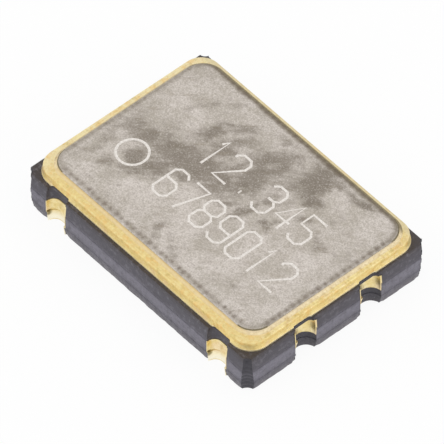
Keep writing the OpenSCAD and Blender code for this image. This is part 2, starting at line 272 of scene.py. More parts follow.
class Wire:  # an output of a node; sums on it add Math nodes
    def __init__(self, nodes, socket):
        self.nodes = nodes
        self.socket = socket

    def __add__(self, other):
        return self.nodes.sum("ADD", self, other)

    def __radd__(self, other):
        return self.nodes.sum("ADD", other, self)

    def __sub__(self, other):
        return self.nodes.sum("SUBTRACT", self, other)

    def __rsub__(self, other):
        return self.nodes.sum("SUBTRACT", other, self)

    def __mul__(self, other):
        return self.nodes.sum("MULTIPLY", self, other)

    def __rmul__(self, other):
        return self.nodes.sum("MULTIPLY", other, self)


class Nodes:  # the nodes of one material or of the world
    def __init__(self, tree):
        self.tree = tree

    def node(self, kind, settings=None, inputs=None, output=0):
        made = self.tree.nodes.new(kind)
        for name, value in (settings or {}).items():
            setattr(made, name, value)
        for name, value in (inputs or {}).items():
            if isinstance(name, int):
                socket = made.inputs[name]
            else:
                socket = next(s for s in made.inputs if s.name == name and s.enabled)
            self.join(socket, value)
        outputs = [s for s in made.outputs if s.enabled]
        return Wire(self, made.outputs[output] if isinstance(output, str) else outputs[output])

    def join(self, socket, value):
        if isinstance(value, Wire):
            self.tree.links.new(value.socket, socket)
        else:
            socket.default_value = value

    def sum(self, operation, first, second=0.0):
        return self.node("ShaderNodeMath", {"operation": operation}, {0: first, 1: second})


class Paint(Nodes):  # one material and the few nodes that every finish here uses
    def __init__(self, name, metallic=0.0):
        self.material = bpy.data.materials.new(name)
        self.material.use_nodes = True
        super().__init__(self.material.node_tree)
        self.shader = self.tree.nodes["Principled BSDF"]
        self.set("Metallic", metallic)

    def set(self, name, value):
        self.join(self.shader.inputs[name], value)

    def place(self):  # object coordinates in millimetres
        where = self.node("ShaderNodeTexCoord", output="Object")
        return self.node(
            "ShaderNodeVectorMath", {"operation": "SCALE"}, {"Vector": where, "Scale": float(perMetre)})

    def part(self, vector, axis):
        return self.node("ShaderNodeSeparateXYZ", inputs={0: vector}, output=axis)

    def speckle(self, vector, scale, detail=2.0, roughness=0.5):
        return self.node(
            "ShaderNodeTexNoise", inputs={
                "Vector": vector, "Scale": scale, "Detail": detail, "Roughness": roughness})

    def fade(self, value, low, high):  # 0 at low, 1 at high, smooth between; low may be the larger
        return self.node(
            "ShaderNodeMapRange", {"interpolation_type": "SMOOTHSTEP"},
            {"Value": value, "From Min": low, "From Max": high})

    def blend(self, factor, first, second):
        return self.node(
            "ShaderNodeMix", {"data_type": "RGBA"}, {"Factor": factor, "A": first, "B": second})

    def layOver(self, colour, *coats):
        # each coat: a value, where it sets in and where it is full, its strength there and its colour
        for value, start, full, strength, shade in coats:
            colour = self.blend(self.fade(value, start, full) * strength, colour, tone(*shade))
        return colour

    def stretch(self, vector, scale, degrees=0.0, shift=(0, 0, 0)):  # a Mapping node turned about Z
        return self.node(
            "ShaderNodeMapping", {"vector_type": "TEXTURE"}, {
                "Vector": vector, "Location": shift, "Rotation": (0, 0, math.radians(degrees)),
                "Scale": scale})

    def wobble(self, place, scale, reach):  # a place pushed about in X and Y by noise, up to reach each way
        push = self.node(
            "ShaderNodeTexNoise", inputs={"Vector": place, "Scale": scale, "Detail": 3.0}, output="Color")
        push = self.node(
            "ShaderNodeVectorMath", {"operation": "SUBTRACT"}, {0: push, 1: (0.5, 0.5, 0.5)})
        return self.node(
            "ShaderNodeVectorMath", {"operation": "MULTIPLY_ADD"}, {
                0: push, 1: (3 * reach, 3 * reach, 0), 2: place})

    def awayFrom(self, place, x, y):  # distance seen from above to a spot or its nearest mirror image
        across = self.sum("ABSOLUTE", self.part(place, "X")) - x
        along = self.sum("ABSOLUTE", self.part(place, "Y")) - y
        return self.sum("SQRT", across * across + along * along)

    def outsideOf(self, place, middle, half, corner):
        # how far a point lies outside a rounded outline seen from above, less than 0 inside it
        across = self.sum("ABSOLUTE", self.part(place, "X") - middle[0]) - (half[0] - corner)
        along = self.sum("ABSOLUTE", self.part(place, "Y") - middle[1]) - (half[1] - corner)
        wide, deep = self.sum("MAXIMUM", across, 0.0), self.sum("MAXIMUM", along, 0.0)
        inside = self.sum("MINIMUM", self.sum("MAXIMUM", across, along), 0.0)
        return self.sum("SQRT", wide * wide + deep * deep) + inside - corner

    def drawnAlong(self, place, away, closeness):  # streaks that keep their distance to an outline
        rise = self.node("ShaderNodeCombineXYZ", inputs={"Z": away * closeness})
        drawn = self.node(
            "ShaderNodeVectorMath", {"operation": "MULTIPLY_ADD"}, {0: place, 1: (2.2, 2.2, 0), 2: rise})
        return self.speckle(drawn, 1.0, 3.0, 0.6)

    def relief(self, height, distance):  # distance in metres
        self.set("Normal", self.node(
            "ShaderNodeBump", inputs={"Height": height, "Strength": 1.0, "Distance": distance}))


def finishPiece(piece, name, paint, replaced=(), smoothAngle=35):
    # scales the piece down to metres, gives it its finish and tells the frame about it
    makeActive(piece)
    piece.name = name
    piece.data.name = name
    piece.data.transform(Matrix.Scale(1 / perMetre, 4))
    bpy.ops.object.shade_smooth_by_angle(angle=math.radians(smoothAngle))
    piece.data.materials.clear()
    piece.data.materials.append(paint.material)
    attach(piece, "root")
    if replaced:
        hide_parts(*replaced)
    return piece


# Fired ceramic: five punched layers, one on another

ceramicStack = {
    "layerTops": (0.27, 0.47, 0.62, 0.92),  # millimetres above the board; the fifth ends at the top
    "setBack": (0.0, 0.004, 0.001, 0.006, 0.003),  # how far each layer stands back from the snapped face
    "cornerHoles": (0.192, 0.178, 0.160, 0.160, 0.150),
    "rungPitch": 0.12,  # fine ridges left by the punch in the corner grooves
    "rungDepth": 0.0025,
    "slotWidths": (0.55, 0.62, 0.62, 0.62),  # over the plating, in layers 1 to 4
    "slotDepth": 0.245,
    "slotCorner": 0.21,
    "rimSlot": (0.58, 0.165, 0.1),  # width, depth and corner of the notch in layer 5 over a terminal
    "rimDent": (0.52, 0.115, 0.1),  # the same over a side contact
    "contactHoles": (0.276, 0.286, 0.290, 0.290),  # radius in layers 1 to 4
    "contactOffsets": (0.0, 0.0, 0.004, 0.004),  # how far outside the wall the hole's middle lies
    "contactShift": 0.024,  # the punched holes sit this far to +Y
    "pitOpening": (-1.048, 1.202, 1.061),  # left, right and half width in layers 2 and 3
    "wellOpening": (-1.798, 1.952, 1.461),  # in layer 4
    "rimOpening": (-2.798, 2.798, 1.761),  # in layer 5
    "openingCorner": 0.2,
    "scoreBase": 0.62,  # the scored band leans in above this height
    "scoreInset": 0.035,
    "scoreLean": {"left": 0.0, "right": 1.0, "near": 1.0, "far": 1.2},  # share of it on each side
    "footTop": 0.22,  # the broken band leans in below this height
    "footInset": 0.018,
    "wallSlack": 0.02,  # what lies this near to the body's outermost faces belongs to the outer walls
    "grain": 0.05,  # spacing of the points on the outer walls
    "grainRows": 19,
    "wallDepth": 0.004,  # roughness of the walls
    "wallNoise": 6,  # the noise repeats about this often in a millimetre
    "breakDepth": 0.009,  # roughness that the broken band has on top
    "breakNoise": 9,
    "bottomWear": 0.022,  # how far the bottom edge is worn upwards, uneven along it
    "bottomRims": (0.34, 0.30, 0.06),  # cuts in the underside, so that its middle stays flat
    "chip": (0.17, 0.09),  # reach and height of the chips where a mouth meets the bottom edge
    "chipInward": 0.25,  # how far a chip sets the wall back, as a share of its height
    "mouthSlack": 0.004,  # what lies this near to a round hole's radius is its edge
    "chipShares": {  # how much of it each end of a mouth gets
        "slotLeft": 0.3, "slotRight": 0.6, "holeNear": 1.0, "holeFar": 0.5, "corner": 1.0,
        "frontCorner": 0.15},
    "edgeWear": 0.008,  # how far the edges at the top, the bottom and the seams are worn back
}

holeSpots = [Matrix.Translation((0, ceramicStack["contactShift"], 0)) @ spot for spot in contactSpots]


def leanAt(height, side):  # how far the scored and the broken band lean in at a height
    c = ceramicStack
    scored = (height - c["scoreBase"]) / (ceramicHigh.z - c["scoreBase"]) * c["scoreInset"]
    broken = (c["footTop"] - height) / (c["footTop"] - ceramicLow.z) * c["footInset"]
    return max(0.0, scored * c["scoreLean"][side], broken)


def openingPiece(opening, low, high):
    left, right, half = opening
    return platePiece(
        "opening", ((right - left) / 2, half), ceramicStack["openingCorner"], low, high,
        centre=((left + right) / 2, 0))


def layerPiece(number):  # number 0 is the lowest
    c = ceramicStack
    low = ceramicLow.z if number == 0 else c["layerTops"][number - 1]
    high = ceramicHigh.z if number == 4 else c["layerTops"][number]
    back = Vector((c["setBack"][number], c["setBack"][number], 0))
    start = Vector((ceramicLow.x, ceramicLow.y, low)) + back
    end = Vector((ceramicHigh.x, ceramicHigh.y, high)) - back
    layer = blockPiece("layer", start, end)
    bottom, top = low - overrun, high + overrun
    if number < 4:
        slot = slotPiece("slot", c["slotWidths"][number], c["slotDepth"], c["slotCorner"], bottom, top)
        dent = rodPiece(
            "dent", c["contactHoles"][number], bottom, top, (0, -c["contactOffsets"][number]), sides=64)
    else:
        slot = slotPiece("slot", *c["rimSlot"], bottom, top)
        dent = slotPiece("dent", *c["rimDent"], bottom, top)
    corner = rodPiece("corner", c["cornerHoles"][number], bottom, top, sides=32)
    rise = c["rungPitch"] / 4
    rungs = [bottom + rise * step for step in range(1, int((top - bottom) / rise))]
    cutAcross(corner, 2, rungs, lambda middle, normal: abs(normal.z) < 0.5)
    for point in corner.data.vertices:
        ridge = c["rungDepth"] * math.sin(math.tau * point.co.z / c["rungPitch"])
        point.co.xy += point.co.xy.normalized() * ridge
    punches = [copyTo(slot, spot, "punch") for spot in terminalSpots]
    punches += [copyTo(dent, spot, "punch") for spot in (holeSpots if number < 4 else contactSpots)]
    for x in (ceramicLow.x, ceramicHigh.x):
        for y in (ceramicLow.y, ceramicHigh.y):
            punches.append(copyTo(corner, Matrix.Translation((x, y, 0)), "punch"))
    for used in (slot, dent, corner):
        bpy.data.objects.remove(used)
    combine(layer, joinAll(punches), "DIFFERENCE")
    for point in layer.data.vertices:  # neighbours meet at exactly one height, or they would not fuse
        if abs(point.co.z - low) < samePoint:
            point.co.z = low
        if abs(point.co.z - high) < samePoint:
            point.co.z = high
    return layer


def onOuterWall(point):
    slack = ceramicStack["wallSlack"]
    return abs(point.x) > ceramicHigh.x - slack or abs(point.y) > ceramicHigh.y - slack


def onUnderside(middle, normal):
    return normal.z < -0.9 and middle.z < ceramicLow.z + samePoint


def roundMouths():  # middle and radius of the round holes in the lowest layer, seen from above
    c = ceramicStack
    corners = [Vector((x, y)) for x in (ceramicLow.x, ceramicHigh.x) for y in (ceramicLow.y, ceramicHigh.y)]
    mouths = [(corner, c["cornerHoles"][0]) for corner in corners]
    return mouths + [(spot.translation.xy, c["contactHoles"][0]) for spot in holeSpots]


def mouthEnds():  # where the mouths of the lowest layer end on the outer walls, with their share of chipping
    shares = ceramicStack["chipShares"]
    half = ceramicStack["slotWidths"][0] / 2
    ends = []
    for spot in terminalSpots:
        ends.append((spot.translation.xy - Vector((half, 0)), shares["slotLeft"]))
        ends.append((spot.translation.xy + Vector((half, 0)), shares["slotRight"]))
    for middle, radius in roundMouths():
        if abs(middle.y) > ceramicHigh.y - samePoint:
            share = shares["frontCorner" if middle.x > 0 > middle.y else "corner"]
            for step in ((0, radius), (0, -radius), (radius, 0), (-radius, 0)):
                ends.append((middle + Vector(step), share))
        else:
            ends.append((middle - Vector((0, radius)), shares["holeNear"]))
            ends.append((middle + Vector((0, radius)), shares["holeFar"]))
    return ends


def chipAt(place, ends):  # how far the bottom edge is chipped upwards, most at the mouths
    c = ceramicStack
    reach, height = c["chip"]
    reach *= 0.75 + 0.6 * noise.noise(place * 3)
    share = max(part * max(0.0, 1 - (place.xy - end).length / reach) ** 1.4 for end, part in ends)
    worn = c["bottomWear"] * (0.5 + 0.35 * noise.noise(place.xy.to_3d() * 5))
    fading = max(0.0, 1 - (place.z - ceramicLow.z) / c["footTop"])
    return (height * share + worn) * fading


def roughAt(place):  # how far roughness and worn edges set a point of the outer walls back
    c = ceramicStack
    broken = max(0.0, 1 - max(0.0, place.z - ceramicLow.z) / (c["footTop"] - ceramicLow.z))
    rough = c["wallDepth"] * (0.5 + 0.5 * noise.noise(place * c["wallNoise"]))
    chipped = max(0.0, noise.fractal(place * c["breakNoise"], 0.8, 2.2, 3))
    rough += c["breakDepth"] * min(1.0, 2 * broken) * chipped
    if min(place.z - ceramicLow.z, ceramicHigh.z - place.z) < c["edgeWear"] / 2:
        rough += c["edgeWear"]
    if min(abs(place.z - top) for top in c["layerTops"]) < c["edgeWear"] / 2:
        rough += c["edgeWear"] / 4
    return rough


def cutWalls(piece):  # cuts the outer walls and the rim of the underside into small faces
    c = ceramicStack
    heights = [top + side * c["edgeWear"] for top in c["layerTops"] for side in (-1, 1)]
    heights += [ceramicLow.z + c["edgeWear"], ceramicHigh.z - c["edgeWear"], c["footTop"], c["scoreBase"]]
    heights += [ceramicLow.z + c["grain"] * row for row in range(1, c["grainRows"] + 1)]
    cutAcross(piece, 2, heights, lambda middle, normal: abs(normal.z) < 0.5 and onOuterWall(middle))
    for axis in (0, 1):
        rims = [side * (ceramicHigh[axis] - rim) for rim in c["bottomRims"] for side in (-1, 1)]
        cutAcross(piece, axis, rims, onUnderside)
    for axis, other in ((0, 1), (1, 0)):
        inside = ceramicHigh[other] - c["bottomRims"][0]
        count = int(2 * ceramicHigh[axis] / c["grain"])
        strips = [step * c["grain"] - ceramicHigh[axis] for step in range(1, count)]
        cutAcross(piece, axis, strips, lambda middle, normal: (
            (abs(normal[other]) > 0.9 and onOuterWall(middle))
            or (onUnderside(middle, normal) and abs(middle[other]) > inside)))


def roughenWalls(piece):  # leans the outer walls in, roughens them and chips their bottom edge
    c = ceramicStack
    ends = mouthEnds()
    mouths = roundMouths()
    for point in piece.data.vertices:
        place = point.co
        if not onOuterWall(place):
            if place.z < c["footTop"] and any(
                    abs((place.xy - middle).length - radius) < c["mouthSlack"] for middle, radius in mouths):
                place.z += chipAt(place, ends)
            continue
        chip = chipAt(place, ends)
        rough = roughAt(place) + c["chipInward"] * chip
        for axis, sides in ((0, ("left", "right")), (1, ("near", "far"))):
            if abs(place[axis]) > ceramicHigh[axis] - c["wallSlack"]:
                inward = leanAt(place.z, sides[place[axis] > 0]) + rough
                place[axis] -= math.copysign(inward, place[axis])
        place.z += chip


def ceramicPaint():
    c = ceramicStack
    paint = Paint("firedCeramic")
    place = paint.place()
    height = paint.part(place, "Z")
    cloudy = paint.speckle(place, 2.2, 3.0)
    mottled = paint.speckle(place, 9.0, 3.0, 0.7)
    grain = paint.speckle(place, 38.0, 3.0, 0.7)
    streaks = paint.speckle(paint.stretch(place, (0.05, 0.05, 0.9)), 1.0, 3.0, 0.7)
    scored = paint.fade(height + 0.12 * cloudy, 0.59, 0.78)
    # the top of the outer walls, where painted shade lies under the frame
    shadeUnderFrame = paint.fade(height + 0.06 * mottled, 0.86, 1.04)
    lower = height + 0.09 * mottled + 0.13 * cloudy
    crack = paint.fade(lower, 0.17, 0.31) * paint.fade(lower, 0.52, 0.33)
    broken = paint.fade(lower, 0.38, 0.22)
    shadedShelf = paint.fade(height, 1.012, 1.018)
    colour = paint.blend(scored, tone(121, 118, 129), tone(80, 77, 85))
    # painted shade under the frame, brownish as if warmed by the gold above
    colour = paint.blend(shadeUnderFrame * 0.9, colour, tone(64, 57, 58))
    colour = paint.blend(broken * 0.8, colour, tone(117, 113, 117))
    colour = paint.blend(crack * (0.2 + streaks), colour, tone(90, 87, 94))
    across = paint.sum("ABSOLUTE", paint.part(place, "X"))
    ends = paint.fade(across, ceramicHigh.x - 0.07, ceramicHigh.x - 0.06)
    colour = paint.blend(ends * scored * (0.15 + 0.3 * shadeUnderFrame), colour, tone(60, 50, 50))
    # the top face beside the frame: painted shade with a painted warm reflection of the gold
    colour = paint.blend(shadedShelf, colour, tone(62, 54, 51))
    colour = paint.layOver(
        colour,
        (mottled, 0.48, 0.70, 0.45, (70, 67, 75)),
        (mottled, 0.50, 0.28, 0.35, (142, 139, 149)),
        (streaks, 0.50, 0.75, 0.35, (72, 69, 77)),
        (grain, 0.40, 0.75, 0.30, (72, 69, 78)),
        (paint.speckle(place, 24.0, 1.0), 0.70, 0.76, broken * 0.7, (176, 172, 180)))
    # the corner grooves darkened: painted shade in the deep recess, and soil there as well; the punch ridges
    # stay a little lighter
    groove = c["cornerHoles"][4] + 0.036 * paint.fade(height, 0.62, 0.24)
    grooveShadeAndSoil = paint.fade(paint.awayFrom(place, ceramicHigh.x, ceramicHigh.y) - groove, 0.020, 0.010)
    rungs = paint.fade(paint.sum("SINE", height * (math.tau / c["rungPitch"])), 0.2, 0.9)
    colour = paint.blend(grooveShadeAndSoil * (0.85 - 0.25 * rungs * (1 - scored)), colour, tone(44, 42, 50))
    # painted shade in the holes behind the side contacts, stronger above the lowest layer
    shifted = paint.node(
        "ShaderNodeVectorMath", {"operation": "SUBTRACT"}, {0: place, 1: (0, c["contactShift"], 0)})
    contactY = middleOf("side_contact_2").y
    away = paint.awayFrom(shifted, ceramicHigh.x + c["contactOffsets"][1], contactY)
    wall = c["contactHoles"][2]
    holeShade = 0.50 + 0.25 * paint.fade(height, 0.26, 0.28)
    colour = paint.layOver(colour, (away, wall + 0.013, wall + 0.003, holeShade, (48, 46, 53)))
    paint.set("Base Color", colour)
    paint.set("Roughness", 0.42 + 0.3 * grain)
    paint.relief(grain + 0.5 * mottled + 0.6 * streaks, 0.000007)
    return paint


def buildCeramic():
    stack = layerPiece(0)
    for number in (1, 2, 3, 4):
        combine(stack, layerPiece(number), "UNION")
    first, _, third, fourth = ceramicStack["layerTops"]
    cavity = (
        ("pitOpening", first, third + overrun), ("wellOpening", third, fourth + overrun),
        ("rimOpening", fourth, ceramicHigh.z + overrun))
    for opening, low, high in cavity:
        combine(stack, openingPiece(ceramicStack[opening], low, high), "DIFFERENCE")
    closeShape(stack)
    cutWalls(stack)
    roughenWalls(stack)
    closeShape(stack)
    finishPiece(stack, "ceramicStack", ceramicPaint(), ["ceramic_base"], smoothAngle=28)
    print("ceramic body done", len(stack.data.polygons), "faces")


# Gold plating: frame, ring, terminals and side contacts

def goldLook(paint, place, light, deep, roughness):
    # clouded plating with rosy patches and fine pits; returns the colour for more to be laid over
    cloudy = paint.speckle(place, 3.5, 3.0, 0.6)
    mottled = paint.speckle(place, 14.0, 3.0, 0.6)
    pits = paint.speckle(place, 60.0, 2.0, 0.7)
    rosy = paint.speckle(paint.stretch(place, (1, 1, 1), shift=(5, 2, 1)), 3.2, 1.0)
    colour = paint.blend(paint.fade(cloudy, 0.35, 0.65), tone(*light), tone(*deep))
    colour = paint.layOver(
        colour,
        (rosy, 0.52, 0.68, 0.40, (238, 208, 176)),
        (mottled, 0.52, 0.72, 0.40, (210, 186, 122)),
        (mottled, 0.48, 0.30, 0.40, (255, 242, 200)),
        (pits, 0.56, 0.72, 0.35, (196, 168, 100)))
    paint.set("Roughness", roughness + 0.18 * mottled)
    paint.relief(0.6 * mottled + 0.4 * pits, 0.000004)
    return colour


def framePaint():  # paler and rosier than the ring; the foot of the braze is painted paler still, a painted highlight
    paint = Paint("frameGold", metallic=1.0)
    place = paint.place()
    colour = goldLook(paint, place, (252, 232, 166), (244, 220, 150), 0.50)
    # painted highlight on the foot of the braze
    foot = (paint.part(place, "Z"), 1.075, 1.045, 0.9, (255, 243, 206))
    paint.set("Base Color", paint.layOver(colour, foot))
    return paint


def ringPaint():
    paint = Paint("ringGold", metallic=1.0)
    place = paint.place()
    across, along, height = (paint.part(place, axis) for axis in "XYZ")
    top = paint.fade(height, 1.225, 1.25)
    away = paint.outsideOf(place, lidMiddle, lidHalf, lidPlate["corner"])
    streaks = paint.drawnAlong(place, away, 30.0)
    specks = paint.speckle(place, 15.0, 4.0, 0.65)
    patches = paint.speckle(place, 7.0, 3.0, 0.6)
    warm = paint.speckle(paint.stretch(place, (1, 1, 1), shift=(3, 7, 2)), 5.0, 2.0)
    # the ring's top just beside the bead, where painted shade lies
    shadeBesideBead = top * paint.fade(away, 0.145, 0.125)
    colour = goldLook(paint, place, (250, 231, 170), (234, 210, 144), 0.30)
    colour = paint.layOver(
        colour,
        # painted shade over the near long side
        (along, -1.5, -2.35, 1.0, (236, 213, 148)),
        # painted highlight over the left side, which faces away
        (across, -2.6, -3.4, 0.7, (238, 226, 186)),
        (height, 1.25, 1.225, 1.0, (240, 217, 150)),
        (streaks, 0.52, 0.74, top * 0.2, (204, 180, 118)),
        (streaks, 0.48, 0.30, top * 0.2, (252, 240, 196)),
        (specks, 0.50, 0.66, 0.40, (226, 182, 116)),
        (specks, 0.50, 0.34, 0.28, (255, 246, 196)),
        (patches, 0.54, 0.70, 0.35, (190, 172, 100)),
        (warm, 0.53, 0.66, 0.40, (242, 198, 122)),
        (warm, 0.45, 0.32, 0.30, (255, 240, 172)),
        # painted reflection greying the far long side
        (along, 2.10, 2.26, 0.6, (214, 203, 172)),
        # painted shade on the top beside the bead
        (away, 0.095, 0.12, shadeBesideBead * 0.08, (190, 164, 106)))
    paint.set("Base Color", colour)
    paint.set("Roughness", 0.34 + 0.28 * (1 - top) + 0.10 * streaks)
    return paint


def platingPaint():  # linings of the slots and the side contacts; they are painted pale towards the board, a painted reflection of the white floor
    paint = Paint("contactGold", metallic=1.0)
    place = paint.place()
    colour = goldLook(paint, place, (250, 234, 184), (238, 216, 152), 0.26)
    height = paint.part(place, "Z")
    aboveThePads = paint.fade(height, 0.021, 0.03)
    # painted reflection of the white floor, strongest near the board and kept off the pads
    colour = paint.layOver(colour, (height, 0.36, 0.05, aboveThePads, (255, 248, 224)))
    for terminal in terminalSpots[:2]:  # dark spots under the ledge: painted shade, with some soil
        spot = (terminal.translation.x - 0.27, ceramicLow.y + 0.04, 0.25)
        away = paint.node("ShaderNodeVectorMath", {"operation": "DISTANCE"}, {0: place, 1: spot}, "Value")
        colour = paint.layOver(colour, (away, 0.10, 0.03, 0.8, (112, 98, 40)))
    paint.set("Base Color", colour)
    return paint


sealParts = {
    "frameCorner": 0.48,
    "frameThickness": 0.04,
    "frameEdge": 0.004,
    "brazeMargin": 0.005,  # from the frame's edge to the foot of the braze
    "brazeHeight": 0.1,
    "brazeSteps": 7,
    "openingHalf": (2.858, 1.821),
    "openingCorner": 0.3,
    "notchGap": 0.01,  # the frame stands back this far from the notches in layer 5
    "ringCorner": 0.453,
    "ringRound": 0.03,
    "roundSteps": 5,
    "arc": 24,  # faces round each corner
}


def buildFrame(gold):
    # a thin plate, then the hollow braze drawn in and up from its edge to the side of the ring
    s = sealParts
    c = ceramicStack
    edge = s["frameEdge"]
    plateTop = frameLow.z + s["frameThickness"]
    piece = platePiece("frame", frameHigh, s["frameCorner"], frameLow.z, plateTop - edge, s["arc"])
    width = frameHigh.x - ringHigh.x - s["brazeMargin"]
    radius = (width ** 2 + s["brazeHeight"] ** 2) / (2 * width)
    sweep = math.asin(s["brazeHeight"] / radius)
    steps = [(edge, edge), (s["brazeMargin"] - edge, 0)]
    for step in range(s["brazeSteps"]):
        before, after = (sweep * (1 - n / s["brazeSteps"]) for n in (step, step + 1))
        steps.append((
            radius * (math.cos(after) - math.cos(before)), radius * (math.sin(before) - math.sin(after))))
    startEditing(piece)
    pickFaces(piece, lambda middle, normal: normal.z > 0.9)
    for inward, upward in steps:
        bpy.ops.mesh.inset(thickness=inward, depth=upward)
    stopEditing()
    bottom, top = frameLow.z - overrun, frameHigh.z + overrun
    gap = s["notchGap"]
    combine(piece, platePiece("seat", ringHigh, s["ringCorner"], plateTop, top, s["arc"]), "DIFFERENCE")
    punches = [platePiece("opening", s["openingHalf"], s["openingCorner"], bottom, top, s["arc"])]
    for sizes, spots in ((c["rimSlot"], terminalSpots), (c["rimDent"], contactSpots)):
        width, depth, corner = sizes
        notch = slotPiece("notch", width + 2 * gap, depth + gap, corner + gap, bottom, top)
        punches += [copyTo(notch, spot, "punch") for spot in spots]
        bpy.data.objects.remove(notch)
    combine(piece, joinAll(punches), "DIFFERENCE")
    closeShape(piece)
    finishPiece(piece, "brazedFrame", gold, ["seal_frame"])


def buildRing(gold):
    s = sealParts
    piece = platePiece("ring", ringHigh, s["ringCorner"], ringLow.z, ringHigh.z, s["arc"])
    startEditing(piece)
    pickTopEdges(piece, ringHigh.z)
    bpy.ops.mesh.bevel(offset=s["ringRound"], segments=s["roundSteps"], profile=0.5, affect="EDGES")
    stopEditing()
    opening = platePiece(
        "opening", s["openingHalf"], s["openingCorner"], ringLow.z - overrun, ringHigh.z + overrun, s["arc"])
    combine(piece, opening, "DIFFERENCE")
    finishPiece(piece, "sealRing", gold, ["seal_ring"])


terminalPlating = {
    "thickness": 0.02,
    "padHalf": (0.7, 0.55),
    "padCorner": 0.1,
    "padStart": 0.065,  # from the body's face to the pad's near edge
    "padArc": 8,
    "edge": 0.005,
}


def placeLinings(piece, spots, sides, name, node, gold):
    # a copy at each spot, its mouth leaning with the ceramic face there; the piece itself is used up
    for number, spot in enumerate(spots, 1):
        twin = copyTo(piece, Matrix(), name)
        side = sides[0] if number < 3 else sides[1]
        for point in twin.data.vertices:
            point.co.y = max(point.co.y, leanAt(point.co.z, side))
        twin.data.transform(spot)
        finishPiece(twin, f"{name}{number}", gold, [f"{node}_{number}"])
    bpy.data.objects.remove(piece)


def buildTerminals(gold):
    # a pad, the lining of the narrow lowest layer and the wider one above it, with a ledge between them
    t = terminalPlating
    c = ceramicStack
    thickness = t["thickness"]
    top = boxOf("terminal_1")[1].z
    ledge = c["layerTops"][0]
    narrow, wide = c["slotWidths"][:2]
    outer = c["slotDepth"], c["slotCorner"]
    inner = c["slotDepth"] - thickness, c["slotCorner"] - thickness
    pad = platePiece(
        "terminal", t["padHalf"], t["padCorner"], 0, thickness, t["padArc"],
        centre=(0, t["padStart"] + t["padHalf"][1]))
    combine(pad, slotPiece("lining", narrow, *outer, thickness, ledge + thickness, mouth=0), "UNION")
    combine(pad, slotPiece("lining", wide, *outer, ledge, top, mouth=0), "UNION")
    for width, foot in ((narrow, -overrun), (wide, ledge + thickness)):
        combine(pad, slotPiece("inside", width - 2 * thickness, *inner, foot, top + overrun), "DIFFERENCE")
    closeShape(pad)
    cutAcross(pad, 2, [c["footTop"]])
    softenEdges(pad, t["edge"])
    placeLinings(pad, terminalSpots, ("near", "far"), "terminalPlating", "terminal", gold)


sideContact = {
    "thickness": 0.02,
    "edge": 0.004,
    "steps": 40,
    "lip": (0.022, 0.68, 0.90, 0.296, 0.018),  # radius, foot, top, X and Y of a burr at one end
    "run": (0.008, 0.048, 0.46, 0.62, -0.258, 0.034),  # radii, foot, top, X and Y of a run at the other
    "runSides": 20,
}


def buildContacts(gold):
    # a small upright section, spun half a turn round the punched hole
    k = sideContact
    c = ceramicStack
    low, high = boxOf("side_contact_1")
    radius, offset = c["contactHoles"][3] - k["thickness"] / 2, c["contactOffsets"][3]
    clearSelection()
    bpy.ops.mesh.primitive_plane_add(
        size=1, location=(radius, -offset, (low.z + high.z) / 2), rotation=(math.pi / 2, 0, 0))
    bpy.context.object.scale = (k["thickness"], high.z - low.z, 1)
    piece = namePiece("contact")
    startEditing(piece)
    bpy.ops.mesh.select_all(action="SELECT")
    bpy.ops.mesh.spin(
        steps=k["steps"], angle=math.pi, center=(0, -offset, 0), axis=(0, 0, -1))
    bpy.ops.mesh.select_all(action="SELECT")
    bpy.ops.mesh.bisect(
        plane_co=(0, 0, 0), plane_no=(0, 1, 0), use_fill=True, clear_inner=True, threshold=samePoint)
    stopEditing()
    closeShape(piece)
    lipRadius, lipFoot, lipTop, *lipPlace = k["lip"]
    combine(piece, rodPiece("lip", lipRadius, lipFoot, lipTop, lipPlace, sides=k["runSides"]), "UNION")
    thin, thick, runFoot, runTop, *runPlace = k["run"]
    clearSelection()
    bpy.ops.mesh.primitive_cone_add(
        vertices=k["runSides"], radius1=thin, radius2=thick, depth=runTop - runFoot,
        location=(*runPlace, (runFoot + runTop) / 2))
    combine(piece, namePiece("run"), "UNION")
    cutAcross(piece, 2, [c["scoreBase"]])
    softenEdges(piece, k["edge"])
    placeLinings(piece, holeSpots, ("right", "left"), "contactPlating", "side_contact", gold)


# Lid with its weld marks, the bead under its edge and the marking

lidPlate = {
    "corner": 0.4665,
    "arc": 24,
    "round": 0.03,
    "roundSteps": 4,
    "weldPitch": 0.178,
    "pitchSteps": 10,  # points per pitch along the straight edges
    "partSteps": 18,  # and in each part that the first of two goes makes, as one go makes 100 cuts at most
    "weldSides": {  # from the lid's edge to the middle of the marks; how dark the band and the marks are; the band's darkness per side is partly painted shade, most on the far side
        "near": (0.096, 0.35, 0.90), "right": (0.068, 0.50, 0.90),
        "far": (0.045, 1.0, 0.80), "left": (0.055, 0.45, 0.45)},
    "weldHalf": (0.054, 0.064),  # half length of a mark along and across the edge
    "weldDepth": 0.010,
    "weldSeed": 11,
    "weldJitter": (0.022, 0.014),  # how far a mark strays along and across the edge
    "weldSizes": (0.8, 1.2),
    "weldStrengths": (0.5, 1.0),
    "weldFade": (1.6, 1.4, 2.6),  # where a mark ends, in its own half lengths, and how it fades out to there
    "raggedness": 0.5,  # how uneven the outlines of the marks and the band are
    "markNoise": 14,
    "bandNoise": 5,
    "weldSlope": (0.13, 0.010, 1.5),  # width and depth of the fall at the lid's edge, and how hollow it is
    "bandWidth": 0.095,
    "sideBlend": 0.12,  # how far round a corner one side's values reach into the next side's
    "lineWidth": 0.026,  # painted shade line along the edge
    "lineFrom": 0.35,  # only a side darker than this has the line
    "cornerFree": 0.42,  # no marks this near to a corner
    "bandStep": 0.016,
    "bandRows": 12,
    "markHeight": 0.002,  # the marking stands this far above the lid
}


def outsideOfLid(x, y):  # as outsideOf in the finishes, for a point of a mesh
    across = abs(x - lidMiddle[0]) - (lidHalf[0] - lidPlate["corner"])
    along = abs(y - lidMiddle[1]) - (lidHalf[1] - lidPlate["corner"])
    return math.hypot(max(across, 0), max(along, 0)) + min(max(across, along), 0) - lidPlate["corner"]


